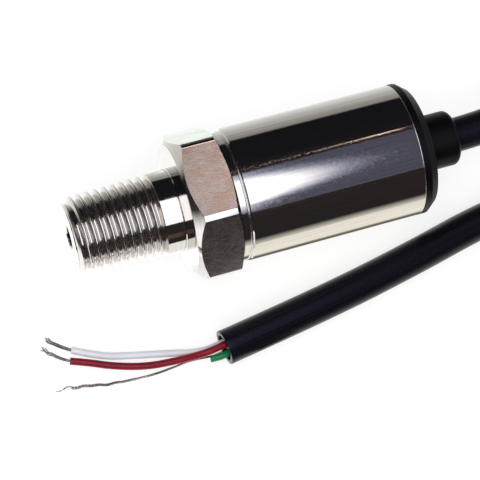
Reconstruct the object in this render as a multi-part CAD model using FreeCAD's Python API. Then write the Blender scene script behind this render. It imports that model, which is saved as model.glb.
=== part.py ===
import FreeCAD, Part
import math
import os

# Pressure transmitter with a tapered pipe thread, a hexagon, a welded tube housing and a
# moulded cable cap, lying on one flat of its hexagon.  Millimetres.  X runs from the thread
# tip to the cable, Z is up, and the origin is on the resting surface under the middle.

V = FreeCAD.Vector

# --- fits -------------------------------------------------------------------------------
SLIP = 0.05             # radial clearance of turned parts that slide into each other
EASE = 0.15             # clearance of loose inner parts and of the cable in its bore
END_PLAY = 0.2          # axial play that lets the cap trap the board carrier

# --- process fitting, turned from hexagon bar -------------------------------------------
THREAD_LENGTH = 14.4    # threaded length of the 1/4-18 NPT taper thread
THREAD_TIP_ROOT = 5.35  # root radius at the small end
THREAD_TAPER = 1 / 32   # radius gained per length, 1 in 16 on the diameter
TIP_CHAMFER = 0.15      # edge break of the end face
PORT_RADIUS = 1.9       # pressure port
PORT_COUNTERSINK = 0.2
SHANK_RADIUS = 6.85     # plain shank between the thread and the hexagon, 0.540 in pipe
RUNOUT_LENGTH = 0.5     # cone at which the thread root runs out into the shank
SHANK_LENGTH = 3.75
RELIEF_OFFSET = 0.75    # from the hexagon face to the middle of the turned relief
RELIEF_WIDTH = 0.3
RELIEF_DEPTH = 0.12
HEX_FLATS = 22.2        # across the flats, 7/8 in
HEX_TURNED = 25.1       # diameter to which the corners are turned down
HEX_WIDTH = 7.7
HEX_FACE_RADIUS = 10.55 # flat ring inside the chamfer
HEX_FRONT_ANGLE = 35.0  # of the chamfer to the face, degrees
HEX_BACK_ANGLE = 24.0
COLLAR_STEP = 0.3       # by which the collar is smaller than the tube
COLLAR_LENGTH = 1.05
WELD_STEP = 0.25        # chamfer of the collar and of the tube at the weld
SPIGOT_LENGTH = 3.0     # register that enters the housing tube
CELL_POCKET_DEPTH = 1.0

# --- housing tube -----------------------------------------------------------------------
TUBE_RADIUS = 10.95
TUBE_WALL = 1.2
TUBE_LENGTH = 29.45
TUBE_EDGE = 0.12        # edge break at the cap

# --- sensor stack -----------------------------------------------------------------------
CELL_RADIUS = 4.5
CELL_WALL = 1.4
CELL_HEIGHT = 5.5
DIAPHRAGM_THICKNESS = 0.5
GAUGE_LENGTH = 1.5
GAUGE_WIDTH = 0.4
GAUGE_THICKNESS = 0.15
GAUGE_OFFSET = 1.6      # from the axis to the middle of an outer gauge
GAUGE_GAP = 0.4         # and of an inner one
SPACER_WALL = 2.2
RING_BOARD_RADIUS = 7.6
RING_BOARD_THICKNESS = 0.8
RING_BOARD_PROUD = 0.5  # by which the ring board stands above the diaphragm

# --- amplifier board and its carrier ------------------------------------------------------
CARRIER_BASE_HEIGHT = 2.0
RAIL_THICKNESS = 1.8
RAIL_HEIGHT = 4.0
SLOT_DEPTH = 0.9
BOARD_THICKNESS = 1.2
BOARD_OFFSET = 1.3      # from the ring board to the amplifier board
BOARD_END_GAP = 0.4     # from the end of the board to the cap
FLEX_WIDTH = 4.0
FLEX_THICKNESS = 0.2
FLEX_BEND = 1.0
FLEX_TAIL = 2.6
FLEX_MARGIN = 1.0       # from the end of the strip to the rim of the ring board
CHIP_LENGTH = 4.9
CHIP_WIDTH = 3.9
CHIP_HEIGHT = 1.3
CHIP_PINS = 4
CHIP_PITCH = 1.0
CHIP_OFFSET = 6.1       # from the start of the board to the signal conditioner
PIN_SIZE = 0.4
PIN_REACH = 0.8         # by which a pin stands out of the package
REGULATOR_SIZE = 3.2
REGULATOR_HEIGHT = 1.1
CAPACITOR = (1.6, 0.8, 0.8)
CAPACITOR_COUNT = 4
CAPACITOR_PITCH = 2.3
RESISTOR = (1.0, 0.5, 0.35)
RESISTOR_COUNT = 6
RESISTOR_PITCH = 1.5
ROW_MARGIN = 2.5        # from a rail to the middle of a row of small parts

# --- moulded end cap ----------------------------------------------------------------------
CAP_RIM = 1.1           # plain rim that continues the tube
CAP_CHAMFER = 1.4       # length of the bevel behind the rim
CAP_FACE_RADIUS = 9.85
CAP_WALL = 4.0          # thickness of the end wall on the axis
CAP_SPIGOT_LENGTH = 4.5
CAP_SPIGOT_WALL = 2.8
BOSS_RADIUS = 4.6
BOSS_LENGTH = 6.7
BOSS_ROUND = 1.1
BOSS_MOUTH = 0.25
SEAL_CORD = 1.5         # section of the O-ring in the cap's groove
SEAL_GROOVE_OFFSET = 2.5    # from the cap's rim to the middle of the groove
BUSH_RADIUS = 5.5
BUSH_LENGTH = 2.0
WASHER_THICKNESS = 0.6
FERRULE_WALL = 0.7
FERRULE_LENGTH = 2.2

# --- cable --------------------------------------------------------------------------------
CABLE_RADIUS = 2.9
CABLE_TAIL = 0.8        # jacket that stands out of the ferrule inside the cap
WIRE_RADIUS = 0.6
TIP_RADIUS = 0.34       # tinned strands, twisted
DRAIN_RADIUS = 0.2
LEAD_LENGTH = 2.2
LEAD_SPACING = 1.5
SOLDER_LENGTH = 0.7
SOLDER_WIDTH = 1.1
SOLDER_HEIGHT = 0.9
FLOOR_EASE = 0.05

# --- stations along the axis, worked out from the sizes above -----------------------------
SHANK_START = THREAD_LENGTH
HEX_START = SHANK_START + SHANK_LENGTH
HEX_END = HEX_START + HEX_WIDTH
TUBE_START = HEX_END + COLLAR_LENGTH + WELD_STEP
SPIGOT_END = TUBE_START + SPIGOT_LENGTH
TUBE_END = TUBE_START + TUBE_LENGTH
CAP_FACE = TUBE_END + CAP_RIM + CAP_CHAMFER
BODY_LENGTH = CAP_FACE + BOSS_LENGTH
CAP_INNER = CAP_FACE - CAP_WALL
CAP_MOUTH = TUBE_END - CAP_SPIGOT_LENGTH
CELL_SEAT = SPIGOT_END - CELL_POCKET_DEPTH
CELL_TOP = CELL_SEAT + CELL_HEIGHT
RING_BOARD_TOP = CELL_TOP + RING_BOARD_PROUD
SPACER_TOP = RING_BOARD_TOP - RING_BOARD_THICKNESS
BOARD_START = RING_BOARD_TOP + BOARD_OFFSET
RAIL_END = CAP_MOUTH - END_PLAY
BUSH_END = CAP_INNER + WASHER_THICKNESS + BUSH_LENGTH
FERRULE_START = CAP_INNER - FERRULE_LENGTH
CABLE_START = FERRULE_START - CABLE_TAIL
BOARD_END = min(CAP_MOUTH, CABLE_START) - BOARD_END_GAP

BORE_RADIUS = TUBE_RADIUS - TUBE_WALL
FIT_RADIUS = BORE_RADIUS - SLIP
COLLAR_RADIUS = TUBE_RADIUS - COLLAR_STEP
RAIL_OUTER = math.sqrt((BORE_RADIUS - EASE) ** 2 - (RAIL_HEIGHT / 2) ** 2)
RAIL_INNER = RAIL_OUTER - RAIL_THICKNESS
ROW_OFFSET = RAIL_INNER - ROW_MARGIN
BOARD_HALF_WIDTH = RAIL_INNER + SLOT_DEPTH - EASE
BOARD_TOP = BOARD_THICKNESS / 2
AXIS_Z = HEX_FLATS / 2
AXIS = V(0, 0, AXIS_Z)
ORIGIN_STATION = BODY_LENGTH / 2


def at(station, across, above_axis):
    """A point given by its station from the thread tip and its offsets from the axis."""
    return V(station - ORIGIN_STATION, across, AXIS_Z + above_axis)


def turned(profile):
    """A solid of revolution about the axis from (station, radius) points.

    A point with a third value is reached by an arc about the centre (station, radius)
    that the third value holds, and all others by straight lines.
    """
    edges = []
    previous = profile[-1]
    for point in profile:
        start = at(previous[0], 0, previous[1])
        end = at(point[0], 0, point[1])
        if len(point) == 3:
            centre = at(point[2][0], 0, point[2][1])
            spoke = (start - centre) + (end - centre)
            middle = centre + spoke.normalize() * (start - centre).Length
            edges.append(Part.Arc(start, middle, end).toShape())
        else:
            edges.append(Part.makeLine(start, end))
        previous = point
    face = Part.Face(Part.Wire(edges))
    return face.revolve(AXIS, V(1, 0, 0), 360)


def ring(start, end, inner, outer):
    """A plain ring about the axis between two stations."""
    return turned([(start, inner), (start, outer), (end, outer), (end, inner)])


def block(start, length, across, width, above, height):
    """A box given by its first station, its middle across and its underside above the axis."""
    corner = at(start, across - width / 2, above)
    return Part.makeBox(length, width, height, corner)


def chamfer_length(radius, angle):
    """The axial length that a chamfer takes between the face ring and a radius."""
    return (radius - HEX_FACE_RADIUS) * math.tan(math.radians(angle))


def process_fitting():
    """Thread blank, shank, hexagon, collar and spigot, turned and bored in one piece."""
    root_end = THREAD_TIP_ROOT + THREAD_TAPER * (THREAD_LENGTH - RUNOUT_LENGTH)
    relief = HEX_START - RELIEF_OFFSET
    turned_radius = HEX_TURNED / 2
    front = chamfer_length(turned_radius, HEX_FRONT_ANGLE)
    back = chamfer_length(turned_radius, HEX_BACK_ANGLE)
    shaft = turned([
        (0, PORT_RADIUS + PORT_COUNTERSINK),
        (0, THREAD_TIP_ROOT - TIP_CHAMFER),
        (TIP_CHAMFER, THREAD_TIP_ROOT),
        (THREAD_LENGTH - RUNOUT_LENGTH, root_end),
        (THREAD_LENGTH, SHANK_RADIUS),
        (relief - RELIEF_WIDTH / 2, SHANK_RADIUS),
        (relief, SHANK_RADIUS - RELIEF_DEPTH),
        (relief + RELIEF_WIDTH / 2, SHANK_RADIUS),
        (HEX_START, SHANK_RADIUS),
        (HEX_END, SHANK_RADIUS),
        (HEX_END, COLLAR_RADIUS),
        (HEX_END + COLLAR_LENGTH, COLLAR_RADIUS),
        (TUBE_START, COLLAR_RADIUS - WELD_STEP),
        (TUBE_START, FIT_RADIUS),
        (SPIGOT_END, FIT_RADIUS),
        (SPIGOT_END, CELL_RADIUS + SLIP),
        (CELL_SEAT, CELL_RADIUS + SLIP),
        (CELL_SEAT, PORT_RADIUS),
        (PORT_COUNTERSINK, PORT_RADIUS),
    ])
    corner = HEX_FLATS / math.sqrt(3)
    points = []
    for side in range(6):
        angle = math.radians(60 * side)
        points.append(at(HEX_START, corner * math.cos(angle), corner * math.sin(angle)))
    hexagon = Part.Face(Part.makePolygon(points + points[:1])).extrude(V(HEX_WIDTH, 0, 0))
    lathe_form = turned([
        (HEX_START, PORT_RADIUS),
        (HEX_START, HEX_FACE_RADIUS),
        (HEX_START + front, turned_radius),
        (HEX_END - back, turned_radius),
        (HEX_END, HEX_FACE_RADIUS),
        (HEX_END, PORT_RADIUS),
    ])
    return shaft.fuse(hexagon.common(lathe_form)).removeSplitter()


def housing_tube():
    """Drawn tube, chamfered where it is welded to the collar and broken at the other edge."""
    return turned([
        (TUBE_START, BORE_RADIUS),
        (TUBE_START, TUBE_RADIUS - WELD_STEP),
        (TUBE_START + WELD_STEP, TUBE_RADIUS),
        (TUBE_END - TUBE_EDGE, TUBE_RADIUS),
        (TUBE_END, TUBE_RADIUS - TUBE_EDGE),
        (TUBE_END, BORE_RADIUS),
    ])


def sensor_cell():
    """Cup whose closed end is the diaphragm, welded into the pocket of the fitting."""
    inner = CELL_RADIUS - CELL_WALL
    under = CELL_TOP - DIAPHRAGM_THICKNESS
    return turned([
        (CELL_SEAT, inner),
        (CELL_SEAT, CELL_RADIUS),
        (CELL_TOP, CELL_RADIUS),
        (CELL_TOP, 0),
        (under, 0),
        (under, inner),
    ])


def strain_gauges():
    """Four gauge bars bonded to the diaphragm, two on the middle and two at its edge."""
    bars = []
    for across in (-GAUGE_OFFSET, -GAUGE_GAP, GAUGE_GAP, GAUGE_OFFSET):
        corner = at(CELL_TOP, across - GAUGE_WIDTH / 2, -GAUGE_LENGTH / 2)
        bars.append(Part.makeBox(GAUGE_THICKNESS, GAUGE_WIDTH, GAUGE_LENGTH, corner))
    return Part.makeCompound(bars)


def ring_spacer():
    """Moulded ring that carries the ring board round the sensor cell."""
    inner = CELL_RADIUS + EASE
    return ring(SPIGOT_END, SPACER_TOP, inner, inner + SPACER_WALL)


def ring_board():
    """Round circuit board on the spacer, open over the diaphragm."""
    return ring(SPACER_TOP, RING_BOARD_TOP, CELL_RADIUS + EASE, RING_BOARD_RADIUS)


def board_carrier():
    """Base ring with two slotted rails, trapped between the fitting and the cap."""
    base_inner = RING_BOARD_RADIUS + EASE
    carrier = ring(SPIGOT_END, SPIGOT_END + CARRIER_BASE_HEIGHT, base_inner, BORE_RADIUS - EASE)
    rail_start = SPIGOT_END + CARRIER_BASE_HEIGHT / 2
    slot_width = BOARD_THICKNESS + 2 * SLIP
    for side in (-1, 1):
        middle = side * (RAIL_INNER + RAIL_OUTER) / 2
        rail = block(rail_start, RAIL_END - rail_start, middle, RAIL_OUTER - RAIL_INNER,
                     -RAIL_HEIGHT / 2, RAIL_HEIGHT)
        carrier = carrier.fuse(rail)
    clearance = ring(rail_start, RING_BOARD_TOP + EASE, CELL_RADIUS, base_inner)
    carrier = carrier.cut(clearance)
    slot = block(BOARD_START - EASE, RAIL_END - BOARD_START + 2 * EASE, 0,
                 2 * (RAIL_INNER + SLOT_DEPTH), -slot_width / 2, slot_width)
    return carrier.cut(slot).removeSplitter()


def amplifier_board():
    """Main circuit board, held edgewise in the slots of the carrier."""
    return block(BOARD_START, BOARD_END - BOARD_START, 0, 2 * BOARD_HALF_WIDTH,
                 -BOARD_TOP, BOARD_THICKNESS)


def flex_circuit():
    """Strip that turns from the face of the ring board onto the amplifier board."""
    face = RING_BOARD_TOP
    top = BOARD_TOP
    outer = FLEX_BEND + FLEX_THICKNESS
    bend = (face + outer, top + outer)
    half = math.sqrt(0.5)
    tail_end = face + outer + FLEX_TAIL
    reach = RING_BOARD_RADIUS - FLEX_MARGIN
    lines = [
        Part.makeLine(at(face, 0, bend[1]), at(face, 0, reach)),
        Part.makeLine(at(face, 0, reach), at(face + FLEX_THICKNESS, 0, reach)),
        Part.makeLine(at(face + FLEX_THICKNESS, 0, reach),
                      at(face + FLEX_THICKNESS, 0, bend[1])),
        Part.Arc(at(face + FLEX_THICKNESS, 0, bend[1]),
                 at(bend[0] - half * FLEX_BEND, 0, bend[1] - half * FLEX_BEND),
                 at(bend[0], 0, top + FLEX_THICKNESS)).toShape(),
        Part.makeLine(at(bend[0], 0, top + FLEX_THICKNESS), at(tail_end, 0, top + FLEX_THICKNESS)),
        Part.makeLine(at(tail_end, 0, top + FLEX_THICKNESS), at(tail_end, 0, top)),
        Part.makeLine(at(tail_end, 0, top), at(bend[0], 0, top)),
        Part.Arc(at(bend[0], 0, top),
                 at(bend[0] - half * outer, 0, bend[1] - half * outer),
                 at(face, 0, bend[1])).toShape(),
    ]
    strip = Part.Face(Part.Wire(lines)).extrude(V(0, FLEX_WIDTH, 0))
    strip.translate(V(0, -FLEX_WIDTH / 2, 0))
    return strip


def signal_chip():
    """Signal conditioner with its pins, soldered on top of the amplifier board."""
    start = BOARD_START + CHIP_OFFSET
    stand_off = PIN_SIZE / 2
    chip = block(start, CHIP_LENGTH, 0, CHIP_WIDTH, BOARD_TOP + stand_off, CHIP_HEIGHT)
    for pin in range(CHIP_PINS):
        station = start + CHIP_LENGTH / 2 + (pin - (CHIP_PINS - 1) / 2) * CHIP_PITCH - PIN_SIZE / 2
        width = CHIP_WIDTH + 2 * PIN_REACH
        shoulder = block(station, PIN_SIZE, 0, width, BOARD_TOP, CHIP_HEIGHT / 2)
        gap = block(station, PIN_SIZE, 0, CHIP_WIDTH, BOARD_TOP, stand_off)
        chip = chip.fuse(shoulder.cut(gap))
    return chip.removeSplitter()


def regulator_chip():
    """Voltage regulator under the amplifier board."""
    start = (BOARD_START + BOARD_END - REGULATOR_SIZE) / 2
    return block(start, REGULATOR_SIZE, 0, REGULATOR_SIZE,
                 -BOARD_TOP - REGULATOR_HEIGHT, REGULATOR_HEIGHT)


def chip_row(size, count, pitch, across):
    """A row of chip parts along the board, standing on its top."""
    length, width, height = size
    middle = (BOARD_START + BOARD_END) / 2
    row = []
    for index in range(count):
        station = middle + (index - (count - 1) / 2) * pitch - length / 2
        row.append(block(station, length, across, width, BOARD_TOP, height))
    return row


def chip_capacitors():
    """Ceramic capacitors in one row."""
    return Part.makeCompound(chip_row(CAPACITOR, CAPACITOR_COUNT, CAPACITOR_PITCH, ROW_OFFSET))


def chip_resistors():
    """Thick-film resistors in one row on the other side of the signal chip."""
    return Part.makeCompound(chip_row(RESISTOR, RESISTOR_COUNT, RESISTOR_PITCH, -ROW_OFFSET))


def end_cap():
    """Moulded cap: rim, bevel, cable boss, and a spigot with its seal groove."""
    groove = TUBE_END - SEAL_GROOVE_OFFSET
    groove_half = SEAL_CORD / 2 + EASE
    groove_radius = BORE_RADIUS - SEAL_CORD - 2 * SLIP
    bore = CABLE_RADIUS + EASE
    boss_end = BODY_LENGTH
    boss_shoulder = (boss_end - BOSS_ROUND, BOSS_RADIUS - BOSS_ROUND)
    return turned([
        (CAP_MOUTH, FIT_RADIUS - CAP_SPIGOT_WALL),
        (CAP_MOUTH, FIT_RADIUS),
        (groove - groove_half, FIT_RADIUS),
        (groove - groove_half, groove_radius),
        (groove + groove_half, groove_radius),
        (groove + groove_half, FIT_RADIUS),
        (TUBE_END, FIT_RADIUS),
        (TUBE_END, TUBE_RADIUS),
        (TUBE_END + CAP_RIM, TUBE_RADIUS),
        (CAP_FACE, CAP_FACE_RADIUS),
        (CAP_FACE, BOSS_RADIUS),
        (boss_end - BOSS_ROUND, BOSS_RADIUS),
        (boss_end, BOSS_RADIUS - BOSS_ROUND, boss_shoulder),
        (boss_end, bore + BOSS_MOUTH),
        (boss_end - BOSS_MOUTH, bore),
        (BUSH_END, bore),
        (BUSH_END, BUSH_RADIUS),
        (CAP_INNER, BUSH_RADIUS),
        (CAP_INNER, FIT_RADIUS - CAP_SPIGOT_WALL),
    ])


def cap_seal():
    """O-ring between the cap's spigot and the tube."""
    section_radius = SEAL_CORD / 2
    seal = Part.makeTorus(BORE_RADIUS - SLIP - section_radius, section_radius, V(0, 0, 0), V(1, 0, 0))
    seal.translate(at(TUBE_END - SEAL_GROOVE_OFFSET, 0, 0))
    return seal


def cable_bush():
    """Rubber bush that seals the cable in the end wall."""
    return ring(BUSH_END - BUSH_LENGTH, BUSH_END, CABLE_RADIUS + SLIP, BUSH_RADIUS - SLIP)


def bush_washer():
    """Washer that holds the bush in its pocket."""
    return ring(CAP_INNER, CAP_INNER + WASHER_THICKNESS, CABLE_RADIUS + EASE, BUSH_RADIUS - SLIP)


def cable_ferrule():
    """Sleeve crimped on the jacket, which takes the pull of the cable."""
    inner = CABLE_RADIUS + SLIP
    return ring(FERRULE_START, CAP_INNER, inner, inner + FERRULE_WALL)


def inner_lead(row):
    """A conductor between the jacket and its solder joint; row is -1, 0 or 1."""
    height = BOARD_TOP + WIRE_RADIUS + SLIP
    lead_start = CABLE_START - LEAD_LENGTH
    return Part.makeCylinder(WIRE_RADIUS, LEAD_LENGTH, at(lead_start, row * LEAD_SPACING, height),
                             V(1, 0, 0))


def solder_joints():
    """Solder at the board end of the three leads."""
    joints = []
    for row in (-1, 0, 1):
        joints.append(block(CABLE_START - LEAD_LENGTH - SOLDER_LENGTH, SOLDER_LENGTH,
                            row * LEAD_SPACING, SOLDER_WIDTH, BOARD_TOP, SOLDER_HEIGHT))
    return Part.makeCompound(joints)


# --- cable route ----------------------------------------------------------------------------
# The points are chosen by hand.  The cable leaves the cap, rises a little, comes down on the
# coil, and its far end returns along the surface beside the housing.
CABLE_REST = CABLE_RADIUS + FLOOR_EASE
COIL_RADIUS = 23.0              # of the coil's round ends, to the middle of the turns
COIL_STRAIGHT = 33.0            # the turns are drawn out by this much along X
COIL_END = V(80.5, -1.0, 0)     # middle of the round end that faces the housing
COIL_ENTRY = 135.0              # degrees round that end where the cable comes in, on top
COIL_EXIT = -125.0              # and where it leaves, after one more turn, underneath
COIL_LAYER = 2 * CABLE_RADIUS + FLOOR_EASE
COIL_EASE = 0.2
COIL_ROUND = 0.8                # of the half width of the coil, rounded at its rims
EXIT_RUN = 0.9                  # straight cable outside the cap


def coil_point(angle, height):
    """A point on the middle line of the coil's near end."""
    turn = math.radians(angle)
    return COIL_END + V(COIL_RADIUS * math.cos(turn), COIL_RADIUS * math.sin(turn), height)


NEAR_ROUTE = [
    at(CABLE_START, 0, 0),
    at(BODY_LENGTH + EXIT_RUN, 0, 0),
    V(42.5, 0.55, 11.6),
    V(51.0, 4.1, 11.5),
    V(58.6, 9.85, 10.5),
    coil_point(COIL_ENTRY, CABLE_REST + COIL_LAYER),
]
FAR_ROUTE = [
    coil_point(COIL_EXIT, CABLE_REST),
    V(59.0, -14.7, CABLE_REST),
    V(49.1, -11.7, CABLE_REST),
    V(36.6, -12.6, CABLE_REST),
    V(21.9, -16.1, CABLE_REST),
    V(4.6, -19.5, CABLE_REST),
    V(-13.0, -22.1, CABLE_REST),
]
JACKET_END = FAR_ROUTE[-1]
JACKET_HEADING = (FAR_ROUTE[-1] - FAR_ROUTE[-2]).normalize()
JACKET_SIDE = V(JACKET_HEADING.y, -JACKET_HEADING.x, 0)


def out_of_jacket(across, height, reach):
    """First two points of a conductor that leaves the cut jacket square to its end."""
    start = JACKET_END + JACKET_SIDE * across + V(0, 0, height)
    return [start, start + JACKET_HEADING * reach]


def onward(route, reach):
    """First two points of bared strands, in line with the end of the insulated route."""
    heading = (route[-1] - route[-2]).normalize()
    return [route[-1], route[-1] + heading * reach]


WIRE_REST = WIRE_RADIUS + FLOOR_EASE
TIP_REST = TIP_RADIUS + FLOOR_EASE
DRAIN_REST = DRAIN_RADIUS + FLOOR_EASE
WHITE_ROUTE = out_of_jacket(0.95, 0.2, 4.2) + [
    V(-22.1, -20.2, 1.1),
    V(-26.9, -18.9, WIRE_REST),
    V(-32.1, -17.5, WIRE_REST),
    V(-36.5, -15.1, WIRE_REST),
]
WHITE_TIP_ROUTE = onward(WHITE_ROUTE, 2.0) + [V(-40.1, -12.0, TIP_REST)]
RED_ROUTE = out_of_jacket(-0.5, 0.3, 3.8) + [
    V(-21.0, -22.15, 1.3),
    V(-25.7, -21.25, WIRE_REST),
    V(-30.7, -19.55, WIRE_REST),
    V(-34.4, -17.85, WIRE_REST),
    V(-37.2, -16.8, WIRE_REST),
]
RED_TIP_ROUTE = onward(RED_ROUTE, 1.6) + [V(-41.1, -13.4, TIP_REST)]
GREEN_ROUTE = out_of_jacket(-1.65, -0.6, 1.4) + [V(-15.6, -24.15, 1.85)]
DRAIN_ROUTE = out_of_jacket(-0.6, -1.8, 3.6) + [
    V(-22.9, -22.65, DRAIN_REST),
    V(-28.3, -22.35, DRAIN_REST),
    V(-34.1, -21.7, DRAIN_REST),
    V(-41.0, -20.6, DRAIN_REST),
]


RUN_SHARE = 0.45                # of a run that the arc at each of its ends may take


def route_tube(name, points, radius):
    """A round tube along straight runs joined by tangent arcs, each as large as its runs allow."""
    edges = []
    position = points[0]
    radii = []
    for before, corner, after in zip(points, points[1:], points[2:]):
        arriving = (corner - before).normalize()
        leaving = (after - corner).normalize()
        setback = RUN_SHARE * min((corner - before).Length, (after - corner).Length)
        half_turn = arriving.getAngle(leaving) / 2
        bend = setback / math.tan(half_turn)
        start = corner - arriving * setback
        end = corner + leaving * setback
        inward = (leaving - arriving).normalize()
        middle = corner + inward * (bend / math.cos(half_turn) - bend)
        edges.append(Part.makeLine(position, start))
        edges.append(Part.Arc(start, middle, end).toShape())
        radii.append(round(bend, 1))
        position = end
    edges.append(Part.makeLine(position, points[-1]))
    path = Part.Wire(edges)
    direction = points[1] - points[0]
    section = Part.Wire(Part.makeCircle(radius, points[0], direction))
    tube = path.makePipeShell([section], True, False)
    expected = math.pi * radius ** 2 * path.Length
    print(f"{name}: length {path.Length:.1f}, radii {radii}, "
          f"volume {tube.Volume:.1f} of {expected:.1f}")
    return tube


def oval(reach):
    """The outline on the surface that lies this far out from the middle of the turns."""
    radius = COIL_RADIUS + reach
    far_end = COIL_END + V(COIL_STRAIGHT, 0, 0)
    up, out = V(0, radius, 0), V(radius, 0, 0)
    return Part.Wire([
        Part.makeLine(COIL_END + up, far_end + up),
        Part.Arc(far_end + up, far_end + out, far_end - up).toShape(),
        Part.makeLine(far_end - up, COIL_END - up),
        Part.Arc(COIL_END - up, COIL_END - out, COIL_END + up).toShape(),
    ])


def cable_coil():
    """The closed outer shape of the coiled turns."""
    half = CABLE_RADIUS + COIL_EASE
    rise = V(0, 0, CABLE_REST + COIL_LAYER + half)
    filled = Part.Face(oval(half)).extrude(rise)
    body = filled.cut(Part.Face(oval(-half)).extrude(rise))
    rims = [edge for edge in body.Edges
            if edge.BoundBox.ZLength < 1e-6 and edge.Length > COIL_STRAIGHT / 2]
    return body.makeFillet(COIL_ROUND * half, rims)


def build():
    """Every sub-part under the name of its node."""
    coil = cable_coil()
    near = route_tube("cable_near", NEAR_ROUTE, CABLE_RADIUS).cut(coil)
    far = route_tube("cable_far", FAR_ROUTE, CABLE_RADIUS).cut(coil)
    return {
        "process_fitting": process_fitting(),
        "sensor_cell": sensor_cell(),
        "strain_gauges": strain_gauges(),
        "ring_spacer": ring_spacer(),
        "ring_board": ring_board(),
        "flex_circuit": flex_circuit(),
        "board_carrier": board_carrier(),
        "amplifier_board": amplifier_board(),
        "signal_chip": signal_chip(),
        "regulator_chip": regulator_chip(),
        "chip_capacitors": chip_capacitors(),
        "chip_resistors": chip_resistors(),
        "housing_tube": housing_tube(),
        "end_cap": end_cap(),
        "cap_seal": cap_seal(),
        "cable_bush": cable_bush(),
        "bush_washer": bush_washer(),
        "cable_ferrule": cable_ferrule(),
        "white_lead": inner_lead(-1),
        "red_lead": inner_lead(0),
        "green_lead": inner_lead(1),
        "solder_joints": solder_joints(),
        "cable_near": near,
        "cable_coil": coil,
        "cable_far": far,
        "white_wire": route_tube("white_wire", WHITE_ROUTE, WIRE_RADIUS),
        "white_wire_tip": route_tube("white_wire_tip", WHITE_TIP_ROUTE, TIP_RADIUS),
        "red_wire": route_tube("red_wire", RED_ROUTE, WIRE_RADIUS),
        "red_wire_tip": route_tube("red_wire_tip", RED_TIP_ROUTE, TIP_RADIUS),
        "green_wire": route_tube("green_wire", GREEN_ROUTE, WIRE_RADIUS),
        "drain_wire": route_tube("drain_wire", DRAIN_ROUTE, DRAIN_RADIUS),
    }


os.makedirs("parts", exist_ok=True)
for name, shape in build().items():
    shape.exportStep(f"parts/{name}.step")
    box = shape.BoundBox
    print(f"{name}: solids {len(shape.Solids)}, valid {shape.isValid()}, volume {shape.Volume:.2f}, "
          f"x {box.XMin:.2f}..{box.XMax:.2f}, y {box.YMin:.2f}..{box.YMax:.2f}, "
          f"z {box.ZMin:.2f}..{box.ZMax:.2f}")
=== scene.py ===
"""Looks of a pressure transmitter with a pipe thread, a hexagon and an open-ended cable.

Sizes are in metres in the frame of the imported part: X runs from the thread tip to the cable
and Z is up from the surface that the part lies on.
"""
import logging
import math
from dataclasses import dataclass, field
from enum import Enum
from functools import cached_property
from typing import Any, Callable, Optional, Sequence

import bmesh
import bpy
import numpy as np
from bpy.types import Material, Node, NodeSocket, NodeTree, Object
from mathutils import Matrix, Vector


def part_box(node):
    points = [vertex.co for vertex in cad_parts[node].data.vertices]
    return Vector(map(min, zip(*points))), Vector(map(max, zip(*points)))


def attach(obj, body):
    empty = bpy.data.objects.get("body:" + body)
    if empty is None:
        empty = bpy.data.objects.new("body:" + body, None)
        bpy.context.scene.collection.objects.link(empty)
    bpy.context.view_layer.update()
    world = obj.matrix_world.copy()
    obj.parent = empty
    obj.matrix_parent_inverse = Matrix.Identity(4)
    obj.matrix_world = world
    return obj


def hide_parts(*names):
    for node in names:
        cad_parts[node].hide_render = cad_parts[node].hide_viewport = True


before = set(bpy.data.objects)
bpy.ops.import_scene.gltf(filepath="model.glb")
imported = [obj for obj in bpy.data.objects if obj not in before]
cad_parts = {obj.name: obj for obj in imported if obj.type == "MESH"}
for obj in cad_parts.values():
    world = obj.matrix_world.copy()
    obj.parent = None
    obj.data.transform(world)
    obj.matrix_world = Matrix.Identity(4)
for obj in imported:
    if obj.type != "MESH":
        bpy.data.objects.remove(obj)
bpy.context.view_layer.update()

Pair = tuple[float, float]
Triple = tuple[float, float, float]
Shader = Callable[[NodeTree], Node]     # adds its nodes to a tree and returns the last

MM = 0.001
LOG = logging.getLogger("pressure_transmitter")

# --- what the CAD part gives ------------------
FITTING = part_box("process_fitting")
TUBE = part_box("housing_tube")
AXIS_Z = (FITTING[0].z + FITTING[1].z) / 2
TIP_X = FITTING[0].x


def linear(code: str) -> tuple[float, ...]:
    """Turns an sRGB hex code into a linear colour.

    Args:
        code: Six hex digits.

    Returns:
        Red, green, blue and alpha, linear.
    """
    channels = [int(code[i:i + 2], 16) / 255 for i in (0, 2, 4)]
    return tuple(c / 12.92 if c <= 0.04045 else ((c + 0.055) / 1.055) ** 2.4
                 for c in channels) + (1.0,)


def add_node(tree: NodeTree, kind: str, inputs: Optional[dict[Any, Any]] = None,
             stops: Sequence[tuple[float, str]] = (), **settings: Any) -> Node:
    """Adds a shader node with its settings and links.

    Args:
        tree: The node tree that takes the node.
        kind: The node's type, without the ShaderNode that each type's name starts with.
        inputs: What each socket takes, by name or index: a value, another node's output, or
            a node, which stands for the first of its outputs that is in use.
        stops: Positions and hex colours of a colour ramp.
        settings: The node's own properties.

    Returns:
        The new node.
    """
    node = tree.nodes.new("ShaderNode" + kind)
    for name, value in settings.items():
        setattr(node, name, value)
    for key, value in (inputs or {}).items():
        if isinstance(value, Node):
            value = next(output for output in value.outputs if output.enabled)
        if isinstance(value, NodeSocket):
            tree.links.new(value, node.inputs[key])
        else:
            node.inputs[key].default_value = value
    if stops:
        elements = node.color_ramp.elements
        while len(elements) < len(stops):
            elements.new(1.0)
        for element, (position, colour) in zip(elements, stops):
            element.position = position
            element.color = linear(colour)
    return node


def new_material(name: str, shader: Shader) -> Material:
    """Makes a material.

    Args:
        name: Its name.
        shader: Adds its nodes and returns the one that the surface takes.

    Returns:
        The material.
    """
    material = bpy.data.materials.new(name)
    material.use_nodes = True
    tree = material.node_tree
    tree.nodes.clear()
    add_node(tree, "OutputMaterial", {"Surface": shader(tree)})
    return material


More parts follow.
